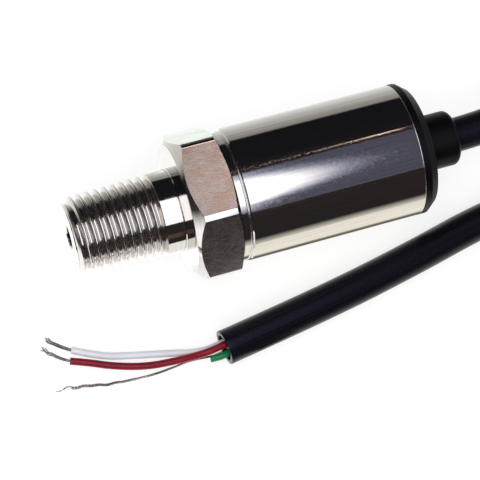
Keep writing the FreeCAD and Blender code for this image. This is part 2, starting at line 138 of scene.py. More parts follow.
# --- finishes ---------------------------------

@dataclass(frozen=True)
class Finish:
    """What a surface is made of and how it was made. Sizes are in millimetres."""

    name: str

    def shader(self, tree: NodeTree) -> Node:
        """Adds the finish's nodes.

        Args:
            tree: The material's nodes.

        Returns:
            The principled shader.
        """
        raise NotImplementedError


@dataclass(frozen=True)
class Grained(Finish):
    """A moulded, cast or rolled stuff whose colour and gloss vary with a fine grain."""

    low: str
    high: str
    grain: float
    roughness: Pair
    relief: float
    metallic: float = 0.0
    specular: float = 0.5

    def shader(self, tree: NodeTree) -> Node:
        """Adds a grain that moves gloss and relief, and a coarse cloud that moves the colour.

        Args:
            tree: The material's nodes.

        Returns:
            The principled shader.
        """
        place = add_node(tree, "TexCoord").outputs["Object"]
        fine = 1 / (self.grain * MM)
        grain = add_node(tree, "TexNoise", {"Vector": place, "Scale": fine, "Detail": 3.0})
        cloud = add_node(tree, "TexNoise", {"Vector": place, "Scale": 0.12 * fine, "Detail": 2.0})
        colour = add_node(tree, "ValToRGB", {"Fac": cloud},
                          stops=[(0.3, self.low), (0.7, self.high)])
        gloss = add_node(tree, "MapRange", {
            "Value": grain, "From Min": 0.3, "From Max": 0.7,
            "To Min": self.roughness[0], "To Max": self.roughness[1]})
        bump = add_node(tree, "Bump", {"Height": grain, "Distance": self.relief * MM})
        return add_node(tree, "BsdfPrincipled", {
            "Base Color": colour, "Roughness": gloss, "Normal": bump,
            "Metallic": self.metallic, "Specular IOR Level": self.specular})


@dataclass
class SteelNodes:
    """What the material of a steel piece knows of a point, as nodes and sockets."""

    tree: NodeTree
    spot: NodeSocket                    # where it lies
    centred: Node                       # the same with the part's axis at no height
    apart: Any                          # X, Y and Z of that
    radius: Node                        # distance from the axis
    facing: NodeSocket                  # how far its surface faces along the axis
    looks: dict[str, Any] = field(default_factory=dict)     # what the shader takes so far


@dataclass(frozen=True)
class WorkedSteel(Finish):
    """Bright stainless steel with the marks of the tool that last went over it.

    Marks and speckle are drawn coarser than they are, so that they show.
    """

    base: str = "DAD6D2"
    shade: str = "C9C5C1"
    pitch: float = 0.16                 # from one tool mark to the next
    run: float = 16.667                 # how far a mark runs on before it changes
    relief: float = 0.0006
    speckle: float = 0.22
    speckle_relief: float = 0.0009
    roughness: Pair = (0.05, 0.1)

    def shader(self, tree: NodeTree) -> Node:
        """Adds tool marks and speckle, and what the steel's own kind changes.

        Args:
            tree: The material's nodes.

        Returns:
            The principled shader.
        """
        coordinates = add_node(tree, "TexCoord").outputs
        spot = coordinates["Object"]
        centred = add_node(tree, "Mapping", {"Vector": spot, "Location": (0, 0, -AXIS_Z)})
        apart = add_node(tree, "SeparateXYZ", {"Vector": centred}).outputs
        across = add_node(tree, "CombineXYZ", {"Y": apart["Y"], "Z": apart["Z"]})
        radius = add_node(tree, "VectorMath", {0: across}, operation="LENGTH")
        facing = add_node(tree, "SeparateXYZ", {"Vector": coordinates["Normal"]})
        steel = SteelNodes(tree, spot, centred, apart, radius, facing.outputs["X"])
        marks = add_node(tree, "TexNoise", {
            "Vector": self.tool_path(steel), "Scale": 1.0, "Detail": 2.0})
        speckle = add_node(tree, "TexNoise", {
            "Vector": spot, "Scale": 1 / (self.speckle * MM), "Detail": 2.0})
        tint = add_node(tree, "ValToRGB", {"Fac": marks},
                        stops=[(0.25, self.shade), (0.7, self.base)])
        gloss = add_node(tree, "MapRange", {
            "Value": speckle, "From Min": 0.35, "From Max": 0.7,
            "To Min": self.roughness[0], "To Max": self.roughness[1]})
        mark_bump = add_node(tree, "Bump", {"Height": marks, "Distance": self.relief * MM})
        bump = add_node(tree, "Bump", {
            "Height": speckle, "Distance": self.speckle_relief * MM, "Normal": mark_bump})
        steel.looks = {"Base Color": tint, "Roughness": gloss, "Normal": bump, "Metallic": 1.0}
        return add_node(tree, "BsdfPrincipled", steel.looks | self.refine(steel))

    def tool_path(self, steel: SteelNodes) -> Node:
        """Stretches space so that the marks run round the axis, as off a lathe.

        Args:
            steel: What is known of the point.

        Returns:
            The mapping node.
        """
        tree, apart = steel.tree, steel.apart
        travel = add_node(tree, "Math", {0: apart["X"], 1: steel.radius}, operation="ADD")
        path = add_node(tree, "CombineXYZ", {"X": travel, "Y": apart["Y"], "Z": apart["Z"]})
        along = 1 / (self.run * MM)
        return add_node(tree, "Mapping", {
            "Vector": path, "Scale": (1 / (self.pitch * MM), along, along)})

    def refine(self, steel: SteelNodes) -> dict[str, Any]:
        """Changes nothing here; finer steels change some of the shader's inputs.

        Args:
            steel: What is known of the point.

        Returns:
            What the changed inputs take instead.
        """
        return {}


@dataclass(frozen=True)
class HexagonSteel(WorkedSteel):
    """Steel turned from hexagon bar: rings all over, but drawing lines along the flats."""

    flat_roughness: Pair = (0.2, 0.32)
    flats: Pair = (11.05, 12.52)        # the flats' distances from the axis
    line: Pair = (1.4286, 0.125)        # length and width of a drawing line
    line_relief: float = 0.002
    wave: float = 1.1111
    wave_relief: float = 0.002
    # painted reflection: blotches of pinkish tint in the flats' colour stand in for the warm light
    # that they mirror
    reflection_blotch: float = 2.381
    reflection_blotch_colours: tuple[str, str] = ("CBBDB6", "D0CCCC")

    def refine(self, steel: SteelNodes) -> dict[str, Any]:
        """Gives the flats the satin look of drawn bar, a little wavy, with blotches of painted
        reflected tint.

        Args:
            steel: What is known of the point.

        Returns:
            Colour, roughness and normal, changed on the flats.
        """
        tree, spot = steel.tree, steel.spot
        slanted = add_node(tree, "Mapping", {"Vector": spot, "Rotation": (0, 0, 0.1)})
        length, width = (1 / (size * MM) for size in self.line)
        fine = add_node(tree, "Mapping", {"Vector": slanted, "Scale": (length, width, width)})
        lines = add_node(tree, "TexNoise", {"Vector": fine, "Scale": 1.0, "Detail": 4.0})
        waves = add_node(tree, "TexNoise", {
            "Vector": spot, "Scale": 1 / (self.wave * MM), "Detail": 2.0})
        wave_bump = add_node(tree, "Bump", {"Height": waves, "Distance": self.wave_relief * MM})
        line_bump = add_node(tree, "Bump", {
            "Height": lines, "Distance": self.line_relief * MM, "Normal": wave_bump})
        gloss = add_node(tree, "MapRange", {
            "Value": lines, "From Min": 0.3, "From Max": 0.7,
            "To Min": self.flat_roughness[0], "To Max": self.flat_roughness[1]})
        # painted reflection: the flats' colour drifts in blotches between a pinkish and a grey
        # tint
        reflection_blotch = add_node(tree, "TexNoise", {
            "Vector": spot, "Scale": 1 / (self.reflection_blotch * MM), "Detail": 3.0})
        tint = add_node(tree, "ValToRGB", {"Fac": reflection_blotch},
                        stops=list(zip((0.38, 0.6), self.reflection_blotch_colours)))
        grain = add_node(tree, "MapRange", {
            "Value": lines, "From Min": 0.3, "From Max": 0.65, "To Min": 0.84, "To Max": 1.0})
        grain_and_reflection_tint = add_node(tree, "VectorMath", {0: tint, 1: grain}, operation="MULTIPLY")
        level = add_node(tree, "Math", {0: steel.facing, 1: 0.0, 2: 0.1}, operation="COMPARE")
        middle, reach = sum(self.flats) / 2, (self.flats[1] - self.flats[0]) / 2
        outside = add_node(tree, "Math", {0: steel.radius, 1: middle * MM, 2: reach * MM},
                           operation="COMPARE")
        flat = add_node(tree, "Math", {0: level, 1: outside}, operation="MULTIPLY")
        changes = (("Base Color", grain_and_reflection_tint, "RGBA"), ("Roughness", gloss, "FLOAT"),
                   ("Normal", line_bump, "VECTOR"))
        return {key: add_node(tree, "Mix", {"Factor": flat, "A": steel.looks[key], "B": change},
                              data_type=kind) for key, change, kind in changes}


@dataclass(frozen=True)
class ThreadSteel(WorkedSteel):
    """Steel cut with a threading tool: the crests stay bright and the flanks are torn."""

    flank_roughness: float = 0.18

    def refine(self, steel: SteelNodes) -> dict[str, Any]:
        """Roughens the flanks.

        Args:
            steel: What is known of the point.

        Returns:
            The roughness, changed on the flanks.
        """
        tree = steel.tree
        steep = add_node(tree, "Math", {0: steel.facing}, operation="ABSOLUTE")
        flank = add_node(tree, "MapRange", {"Value": steep, "From Min": 0.1, "From Max": 0.4})
        return {"Roughness": add_node(tree, "Mix", {
            "Factor": flank, "A": steel.looks["Roughness"], "B": self.flank_roughness})}


@dataclass(frozen=True)
class DrawnSteel(WorkedSteel):
    """Drawn and polished tube: the faint marks run along it."""

    def tool_path(self, steel: SteelNodes) -> Node:
        """Stretches space so that the marks run along X.

        Args:
            steel: What is known of the point.

        Returns:
            The mapping node.
        """
        across = 1 / (self.pitch * MM)
        return add_node(steel.tree, "Mapping", {
            "Vector": steel.centred, "Scale": (1 / (self.run * MM), across, across)})


@dataclass(frozen=True)
class CableJacket(Finish):
    """Extruded soft PVC, black: half gloss, with faint lines along the cable, lightened by a
    painted sheen.
    """

    base: str = "08080A"
    # painted sheen: the streaks' lighter, bluish colour stands in for a highlight along the jacket
    painted_sheen: str = "15141E"
    lines: Triple = (14, 70, 1)         # lines along and round the UV map
    line_relief: float = 0.012
    dust: float = 0.5
    dust_relief: float = 0.003
    roughness: Pair = (0.24, 0.36)
    specular: float = 0.3
    # bluish tint of the reflections: painted colour of the light they show
    specular_tint: str = "A29EC0"

    def shader(self, tree: NodeTree) -> Node:
        """Adds lines that follow the cable's own UV map, which also carry a painted sheen in the
        colour, and fine dust.

        Args:
            tree: The material's nodes.

        Returns:
            The principled shader.
        """
        place = add_node(tree, "TexCoord").outputs
        lines = add_node(tree, "Mapping", {"Vector": place["UV"], "Scale": self.lines})
        streaks_and_sheen = add_node(tree, "TexNoise", {"Vector": lines, "Scale": 1.0, "Detail": 2.0})
        dust = add_node(tree, "TexNoise", {
            "Vector": place["Object"], "Scale": 1 / (self.dust * MM), "Detail": 3.0})
        # painted sheen: the streaks lighten the jacket's colour
        colour = add_node(tree, "ValToRGB", {"Fac": streaks_and_sheen},
                          stops=[(0.3, self.base), (0.75, self.painted_sheen)])
        gloss = add_node(tree, "MapRange", {
            "Value": dust, "From Min": 0.3, "From Max": 0.7,
            "To Min": self.roughness[0], "To Max": self.roughness[1]})
        line_bump = add_node(tree, "Bump", {"Height": streaks_and_sheen, "Distance": self.line_relief * MM})
        bump = add_node(tree, "Bump", {
            "Height": dust, "Distance": self.dust_relief * MM, "Normal": line_bump})
        return add_node(tree, "BsdfPrincipled", {
            "Base Color": colour, "Roughness": gloss, "Normal": bump,
            "Specular IOR Level": self.specular, "Specular Tint": linear(self.specular_tint)})


class Stuff(Enum):
    """The finishes of the pieces, named for the real materials."""

    # machined 316L: crisp rings on the shank and collar, satin lengthwise lines on the flats
    TURNED_STEEL = HexagonSteel("turned_316l_steel")
    # thread cut with a single point: rings along the flanks and torn, brighter crests
    CUT_THREAD = ThreadSteel("thread_cut_316l_steel", pitch=0.09, relief=0.0012,
                             roughness=(0.08, 0.18))
    # drawn and polished 316L tube: near mirror, with the speckle of fine handling scratches
    POLISHED_TUBE = DrawnSteel("polished_316l_tube", pitch=0.25, run=11.111, relief=0.0003,
                               speckle=0.4, speckle_relief=0.0007, roughness=(0.04, 0.1))
    # laser weld and rolled lip: bright, with the small ripples of the melted bead
    WELD = Grained("welded_316l_bead", "C9C6C4", "E4E2E0", 0.3, (0.12, 0.25), 0.01, 1.0)
    # glass-filled polyamide, moulded black: soft sheen with a fine spark-eroded grain
    MOULDED_CAP = Grained("moulded_black_polyamide", "050406", "08060A", 0.35, (0.34, 0.46),
                          0.004, specular=0.12)
    # extruded soft PVC: half gloss that the lay of the cores draws into faint lines; their lighter
    # colour is a painted sheen
    JACKET = CableJacket("extruded_black_pvc")
    # extruded PVC insulation: even colour, slight gloss, scuffed by stripping
    WHITE_INSULATION = Grained("white_pvc_insulation", "E2E2EE", "EDEDF4", 0.6, (0.3, 0.42),
                               0.003)
    RED_INSULATION = Grained("red_pvc_insulation", "780319", "8C0724", 0.6, (0.26, 0.38),
                             0.003, specular=0.3)
    GREEN_INSULATION = Grained("green_pvc_insulation", "007A48", "009257", 0.6, (0.3, 0.42),
                               0.003)
    # tinned copper strands: dull silver, darker in patches
    TINNED_COPPER = Grained("tinned_copper_strand", "57534F", "E2DFDA", 0.6, (0.15, 0.3),
                            0.004, 1.0)
    # sealed pieces: each keeps its real stuff, though the closed housing hides it
    CELL_STEEL = WorkedSteel("lapped_17_4_ph_steel", pitch=0.08, roughness=(0.1, 0.2))
    GAUGE = Grained("silicon_strain_gauge", "3A3A44", "5A5A66", 0.05, (0.15, 0.25), 0.0005)
    CARRIER = Grained("moulded_grey_pbt", "2A2B2E", "36373B", 0.4, (0.4, 0.55), 0.004)
    BOARD = Grained("glass_epoxy_laminate", "1C4A2C", "276038", 0.3, (0.25, 0.4), 0.006)
    FLEX = Grained("polyimide_film", "8A4B12", "B06A1E", 0.5, (0.2, 0.3), 0.001)
    CHIP = Grained("epoxy_chip_body", "161617", "222224", 0.1, (0.45, 0.6), 0.003)
    CERAMIC = Grained("fired_barium_titanate", "8C7350", "A58A63", 0.1, (0.35, 0.5), 0.002)
    RUBBER = Grained("moulded_fkm_rubber", "0E0F0F", "191A1A", 0.2, (0.45, 0.6), 0.004)
    BRASS = Grained("turned_brass", "B08A3C", "CDA552", 0.2, (0.18, 0.3), 0.001, 1.0)

    @cached_property
    def material(self) -> Material:
        """The finish's material, made once."""
        return new_material(self.value.name, self.value.shader)


NODES: dict[Stuff, tuple[str, ...]] = {
    Stuff.TURNED_STEEL: ("process_fitting",),
    Stuff.POLISHED_TUBE: ("housing_tube",),
    Stuff.MOULDED_CAP: ("end_cap",),
    Stuff.CELL_STEEL: ("sensor_cell",),
    Stuff.GAUGE: ("strain_gauges",),
    Stuff.CARRIER: ("ring_spacer", "board_carrier"),
    Stuff.BOARD: ("ring_board", "amplifier_board"),
    Stuff.FLEX: ("flex_circuit",),
    Stuff.CHIP: ("signal_chip", "regulator_chip", "chip_resistors"),
    Stuff.CERAMIC: ("chip_capacitors",),
    Stuff.RUBBER: ("cap_seal", "cable_bush"),
    Stuff.BRASS: ("bush_washer", "cable_ferrule"),
    Stuff.TINNED_COPPER: ("solder_joints",),
    Stuff.WHITE_INSULATION: ("white_lead",),
    Stuff.RED_INSULATION: ("red_lead",),
    Stuff.GREEN_INSULATION: ("green_lead",),
}


def dress_nodes() -> None:
    """Gives every CAD node that nothing replaces its finish."""
    for stuff, names in NODES.items():
        for name in names:
            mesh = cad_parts[name].data
            mesh.materials.clear()
            mesh.materials.append(stuff.material)


# --- modelling helpers ------------------------

def only(piece: Object) -> None:
    """Selects one object and makes it the active one.

    Args:
        piece: The object.
    """
    bpy.ops.object.select_all(action="DESELECT")
    piece.select_set(True)
    bpy.context.view_layer.objects.active = piece


def settle(piece: Object, name: str, stuff: Stuff, slot: str, smooth: float = 35.0) -> Object:
    """Names, dresses and mounts a finished mesh or curve.

    Args:
        piece: The object.
        name: The name that the piece keeps.
        stuff: Its finish.
        slot: Name of a material slot; not used.
        smooth: Angle in degrees below which faces shade smoothly.

    Returns:
        The same object, riding on the part's body.
    """
    piece.name = name
    piece.data.name = name
    piece.data.materials.clear()
    piece.data.materials.append(stuff.material)
    only(piece)
    bpy.ops.object.transform_apply(location=True, rotation=True, scale=True)
    if piece.type == "MESH":
        bpy.ops.object.shade_smooth_by_angle(angle=math.radians(smooth))
    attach(piece, "root")
    LOG.info("%s made", name)
    return piece


def curve_of(name: str, lines: Sequence[Sequence[Vector]], radius: float = 0.0,
             kind: str = "NURBS", roundness: int = 8) -> Object:
    """A curve object of smooth or straight open lines.

    Args:
        name: The object's name.
        lines: The control points of each line, in metres.
        radius: Radius of the round section, or nothing for bare lines.
        kind: NURBS for smooth lines and POLY for straight ones.
        roundness: How finely the section is rounded.

    Returns:
        The curve object.
    """
    curve = bpy.data.curves.new(name, "CURVE")
    curve.dimensions = "3D"
    curve.bevel_depth = radius
    curve.bevel_resolution = roundness
    curve.use_fill_caps = radius > 0
    for points in lines:
        spline = curve.splines.new(kind)
        spline.points.add(len(points) - 1)
        for control, point in zip(spline.points, points):
            control.co = (*point, 1.0)
        spline.order_u = 3
        spline.use_endpoint_u = True
        spline.resolution_u = 8
        spline.use_smooth = True
    piece = bpy.data.objects.new(name, curve)
    bpy.context.scene.collection.objects.link(piece)
    return piece


def line_of(points: Sequence[Vector], step: float) -> list[Vector]:
    """Points read from the smooth line through a route, evenly spaced.

    Args:
        points: The route's control points.
        step: Distance between the points that come back.

    Returns:
        The points along the line, first and last included.
    """
    guide = curve_of("guide", [points])
    guide.data.splines[0].resolution_u = 24
    mesh = bpy.data.meshes.new_from_object(guide)
    line = np.array([vertex.co for vertex in mesh.vertices], float)
    bpy.data.meshes.remove(mesh)
    bpy.data.curves.remove(guide.data)      # takes the guide with it
    along = np.concatenate([[0], np.cumsum(np.linalg.norm(np.diff(line, axis=0), axis=1))])
    places = np.linspace(0, along[-1], max(3, round(along[-1] / step) + 1))
    return [Vector([np.interp(place, along, line[:, axis]) for axis in range(3)])
            for place in places]


# --- thread -----------------------------------

@dataclass
class PipeThread:
    """The 1/4-18 NPT thread, a ridge wound round the fitting's root cone."""

    pitch: float = 1.411 * MM
    root: float = 5.35 * MM
    crest: float = 6.38 * MM
    taper: float = 1 / 32
    length: float = 14.4 * MM
    first_crest: float = 0.42 * MM      # station of a crest on the side that faces the camera
    crest_angle: float = 107.0          # and the angle about the axis at which it lies there
    crest_width: float = 0.2 * MM
    crest_round: float = 0.05 * MM
    gap: float = 0.04 * MM              # between the feet of two turns
    sunk: float = 0.06 * MM             # the feet lie this deep in the root cone
    face_radius: float = 5.3 * MM       # the lead-in chamfer starts here on the end face
    chamfer_slope: float = 1.15
    shank: float = 6.85 * MM
    inset: float = 0.03 * MM            # the ridge keeps this far behind the end face
    steps: int = 56

    def build(self) -> Object:
        """Models the ridge.

        Returns:
            The finished thread.
        """
        ridge = self.profile()
        self.wind(ridge)
        self.fit(ridge)
        bpy.ops.object.mode_set(mode="EDIT")
        bpy.ops.mesh.select_all(action="SELECT")
        bpy.ops.mesh.fill_holes(sides=0)    # closes the two ends
        bpy.ops.mesh.normals_make_consistent(inside=False)
        bpy.ops.object.mode_set(mode="OBJECT")
        return settle(ridge, "pipe_thread", Stuff.CUT_THREAD, "turned_steel", 30)

    def profile(self) -> Object:
        """Draws the ridge's section.

        Returns:
            The section, an outline of edges in the XZ plane.
        """
        bpy.ops.mesh.primitive_plane_add(size=1)
        ridge = bpy.context.object
        bpy.ops.object.mode_set(mode="EDIT")
        mesh = bmesh.from_edit_mesh(ridge.data)
        foot = (self.pitch - self.gap) / 2
        for vertex in mesh.verts:
            high = vertex.co.y > 0
            side = math.copysign(1, vertex.co.x)
            half = self.crest_width / 2 if high else foot
            vertex.co = (side * half, 0, self.crest if high else self.root - self.sunk)
            vertex.select = high
        mesh.select_flush_mode()
        bmesh.update_edit_mesh(ridge.data)
        bpy.ops.mesh.select_mode(type="VERT")
        bpy.ops.mesh.bevel(offset=self.crest_round, segments=2, affect="VERTICES")
        bpy.ops.mesh.select_all(action="SELECT")
        bpy.ops.mesh.delete(type="ONLY_FACE")
        bpy.ops.object.mode_set(mode="OBJECT")
        return ridge

    def wind(self, ridge: Object) -> None:
        """Winds the section round the axis into a right-hand helix.

        Args:
            ridge: The section.
        """
        only(ridge)
        screw = ridge.modifiers.new("wind", "SCREW")
        screw.axis = "X"
        screw.angle = math.tau
        screw.screw_offset = self.pitch
        screw.iterations = math.ceil(self.length / self.pitch) + 2
        screw.steps = screw.render_steps = self.steps
        screw.use_normal_calculate = True
        bpy.ops.object.modifier_apply(modifier="wind")

    def fit(self, ridge: Object) -> None:
        """Brings the helix to its station, tapers it and turns its start down to the chamfer.

        Args:
            ridge: The wound ridge.
        """
        mesh = ridge.data
        points = np.array([vertex.co for vertex in mesh.vertices], float)
        radius = np.hypot(points[:, 1], points[:, 2])
        angle = np.degrees(np.arctan2(points[:, 2], points[:, 1]))
        # where the crest of the first turn crosses the chosen angle, one turn before the tip
        sample = np.where(radius > self.crest - 0.001 * MM)[0]
        turned = (angle[sample] - self.crest_angle) / 360
        phase = np.median((points[sample, 0] / self.pitch - turned) % 1)
        shift = self.first_crest - (phase + 1) * self.pitch
        lathe = points[:, 0] + shift
        station = np.clip(lathe, self.inset, self.length)
        radius = radius + station * self.taper
        chamfer = self.face_radius + station * self.chamfer_slope
        radius = np.minimum(radius, np.minimum(chamfer, self.shank - 0.01 * MM))
        buried = (lathe < 0) | (lathe > self.length)
        radius = np.where(buried, np.minimum(radius, self.root - 0.3 * MM), radius)
        turn = np.radians(angle)
        points[:, 0] = TIP_X + station
        points[:, 1] = radius * np.cos(turn)
        points[:, 2] = AXIS_Z + radius * np.sin(turn)
        mesh.vertices.foreach_set("co", points.ravel())
        mesh.update()


# --- seams ------------------------------------

@dataclass
class SeamRing:
    """A thin bright ring round the housing: a weld bead, or the rolled lip of the tube."""

    name: str
    station: float                      # X of its plane
    radius: float
    bead: float                         # radius of the bead

    def build(self) -> Object:
        """Models the ring.

        Returns:
            The finished ring.
        """
        bpy.ops.mesh.primitive_torus_add(
            major_segments=180, minor_segments=12, major_radius=self.radius,
            minor_radius=self.bead, location=(self.station, 0, AXIS_Z),
            rotation=(0, math.pi / 2, 0))
        return settle(bpy.context.object, self.name, Stuff.WELD, "tube_steel", 60)


# --- cable ------------------------------------

def mm(*place: float) -> Vector:
    """A point given in millimetres."""
    return Vector(place) * MM


@dataclass
class Twist:
    """A bundle of fine tinned strands that follows a route."""

    name: str
    node: str                           # the CAD node that it stands for
    count: int
    strand: float                       # radius of one strand
    spread: Pair                        # distance of the strands from the middle, at both ends
    lay: float                          # length of one turn of the twist
    wave: float                         # sideways waviness towards the end
    fray: float                         # share of the length over which the ends part
    bit: float = 0.12 * MM              # length of the straight bits that a strand is made of
    stray: float = 2.5                  # how far loose ends stray, in radii of a strand
    short: float = 0.12                 # share of the length by which ends may fall short
    hidden: float = 0.6 * MM            # run inside the insulation

    def build(self, route: Sequence[Vector]) -> Object:
        """Models the bundle.

        Args:
            route: Control points of the bundle's middle line.

        Returns:
            The strands as one mesh.
        """
        line = line_of(route, self.bit)
        rng = np.random.default_rng(len(self.name))
        strands = [self.strand_points(line, strand, rng) for strand in range(self.count)]
        only(curve_of(self.name, strands, self.strand, "POLY", 1))
        bpy.ops.object.convert(target="MESH")
        piece = bpy.context.object
        settle(piece, self.name, Stuff.TINNED_COPPER, "tinned_copper", 60)
        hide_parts(self.node)
        return piece

    def strand_points(self, line: Sequence[Vector], strand: int,
                      rng: np.random.Generator) -> list[Vector]:
        """Winds one strand round the bundle's middle line.

        Args:
            line: Evenly spaced points of the middle line.
            strand: The strand's number; the first lies in the middle.
            rng: Draws how far its end strays and where it stops.

        Returns:
            The strand's points, none of them below the table.
        """
        last = len(line) - 1
        phase = math.tau * strand / max(self.count - 1, 1)
        drift = rng.normal(0, 1, 2) * self.strand * self.stray
        stop = last - int(rng.uniform(0, self.short) * last)
        points = []
        for index in range(stop + 1):
            share = index / last
            ahead = (line[min(index + 1, last)] - line[max(index - 1, 0)]).normalized()
            across = Vector((ahead.y, -ahead.x, 0)).normalized()
            above = across.cross(ahead).normalized()
            if above.z < 0:
                above.negate()
            away = self.spread[0] * (1 - share) + self.spread[1] * share if strand else 0
            travel = index * self.bit
            angle = phase + math.tau * travel / self.lay
            loose = max(0.0, (share - 1 + self.fray) / self.fray)
            sway = self.wave * max(0.0, 2 * share - 1) * (
                math.sin(math.tau * travel / (2.6 * MM))
                + 0.7 * math.sin(math.tau * travel / (4.3 * MM)))
            point = line[index] + across * (away * math.cos(angle) + sway + drift[0] * loose)
            point = point + above * (away * math.sin(angle) + abs(drift[1]) * loose)
            point.z = max(point.z, self.strand + 0.02 * MM)
            points.append(point)
        return points


@dataclass
class CutEnd:
    """The cut end of the jacket: a short ring, hollowed round the cores."""

    middle: Vector                      # of the cut face
    heading: Vector                     # direction in which the cable points there
    radius: float
    wall: float = 0.75 * MM
    recess: float = 0.5 * MM
    round_over: float = 0.07 * MM

    def way_out(self, start: Pair, reach: float) -> list[Vector]:
        """Leads a wire out of the jacket.

        Args:
            start: Where it comes out, across and above the middle, in millimetres.
            reach: How far it runs straight on, in millimetres.

        Returns:
            Three points: inside the jacket, in its cut face and outside.
        """
        side = Vector((self.heading.y, -self.heading.x, 0))
        out = self.middle + side * start[0] * MM + Vector((0, 0, start[1] * MM))
        return [out - self.heading * self.recess, out, out + self.heading * reach * MM]

    def build(self) -> Object:
        """Models the ring.

        Returns:
            The finished ring.
        """
        depth = 2 * self.recess
        bpy.ops.mesh.primitive_cylinder_add(vertices=64, radius=self.radius, depth=depth)
        ring = bpy.context.object
        bpy.ops.object.mode_set(mode="EDIT")
        bpy.ops.mesh.select_all(action="DESELECT")
        mesh = bmesh.from_edit_mesh(ring.data)
        for face in mesh.faces:
            face.select = face.normal.z > 0.9
        bmesh.update_edit_mesh(ring.data)
        bpy.ops.mesh.inset(thickness=self.wall)
        bpy.ops.mesh.extrude_region_move(
            TRANSFORM_OT_translate={"value": (0, 0, -self.recess)})
        bpy.ops.mesh.select_all(action="DESELECT")
        mesh = bmesh.from_edit_mesh(ring.data)
        for edge in mesh.edges:
            edge.select = all(vertex.co.z > depth / 2 - 0.01 * MM for vertex in edge.verts)
        bmesh.update_edit_mesh(ring.data)
        bpy.ops.mesh.bevel(offset=self.round_over, segments=2, affect="EDGES")
        bpy.ops.object.mode_set(mode="OBJECT")
        turn = self.heading.to_track_quat("Z", "Y").to_matrix().to_4x4()
        ring.data.transform(Matrix.Translation(self.middle - self.heading * self.recess) @ turn)
        return settle(ring, "jacket_end", Stuff.JACKET, "cable_jacket", 30)


@dataclass
class Core:
    """One insulated core of the cable, and its bared strands where it has them."""

    name: str
    stuff: Stuff
    slot: str
    node: str                           # the CAD node that it stands for
    start: Pair                         # across and height in the cut end, millimetres
    reach: float                        # straight run out of the jacket, millimetres
    route: Sequence[Triple]
    strands: Optional[Twist] = None
    bared: float = 0.0                  # straight run of the strands, millimetres
    tip: Triple = (0, 0, 0)
    radius: float = 0.6 * MM

    def build(self, end: CutEnd) -> list[Object]:
        """Models the core.

        Args:
            end: The jacket's end that the core comes out of.

        Returns:
            The insulation, and the strands if they show.
        """
        points = end.way_out(self.start, self.reach) + [mm(*place) for place in self.route]
        insulation = curve_of(self.name, [points], self.radius)
        settle(insulation, self.name, self.stuff, self.slot)
        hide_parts(self.node)
        if not self.strands:
            return [insulation]
        last = points[-1]
        run = (last - points[-2]).normalized()
        return [insulation, self.strands.build([
            last - run * self.strands.hidden, last + run * self.bared * MM, mm(*self.tip)])]


# the green core is cut short at the jacket
CORES = (
    Core("white_core", Stuff.WHITE_INSULATION, "white_insulation", "white_wire", (0.9, -0.2), 3.6,
         ((-21.6, -19.95, 0.75), (-26.9, -18.75, 0.65), (-32.1, -17.5, 0.65),
          (-36.5, -15.1, 0.65)),
         Twist("white_strands", "white_wire_tip", 7, 0.1 * MM, (0.2 * MM, 0.24 * MM), 2.6 * MM,
               0.12 * MM, 0.25), 2.0, (-40.1, -12.0, 0.39)),
    Core("red_core", Stuff.RED_INSULATION, "red_insulation", "red_wire", (0.25, 1.0), 3.4,
         ((-20.3, -21.85, 2.0), (-25.6, -21.1, 0.7), (-30.7, -19.55, 0.65),
          (-34.4, -17.85, 0.65), (-37.2, -16.8, 0.65)),
         Twist("red_strands", "red_wire_tip", 6, 0.08 * MM, (0.14 * MM, 0.26 * MM), 3.0 * MM,
               0.16 * MM, 0.5), 1.6, (-41.1, -13.4, 0.39)),
    Core("green_core", Stuff.GREEN_INSULATION, "green_insulation", "green_wire",
         (-0.85, -0.95), 1.2, ((-15.5, -22.95, 1.7),)),
)


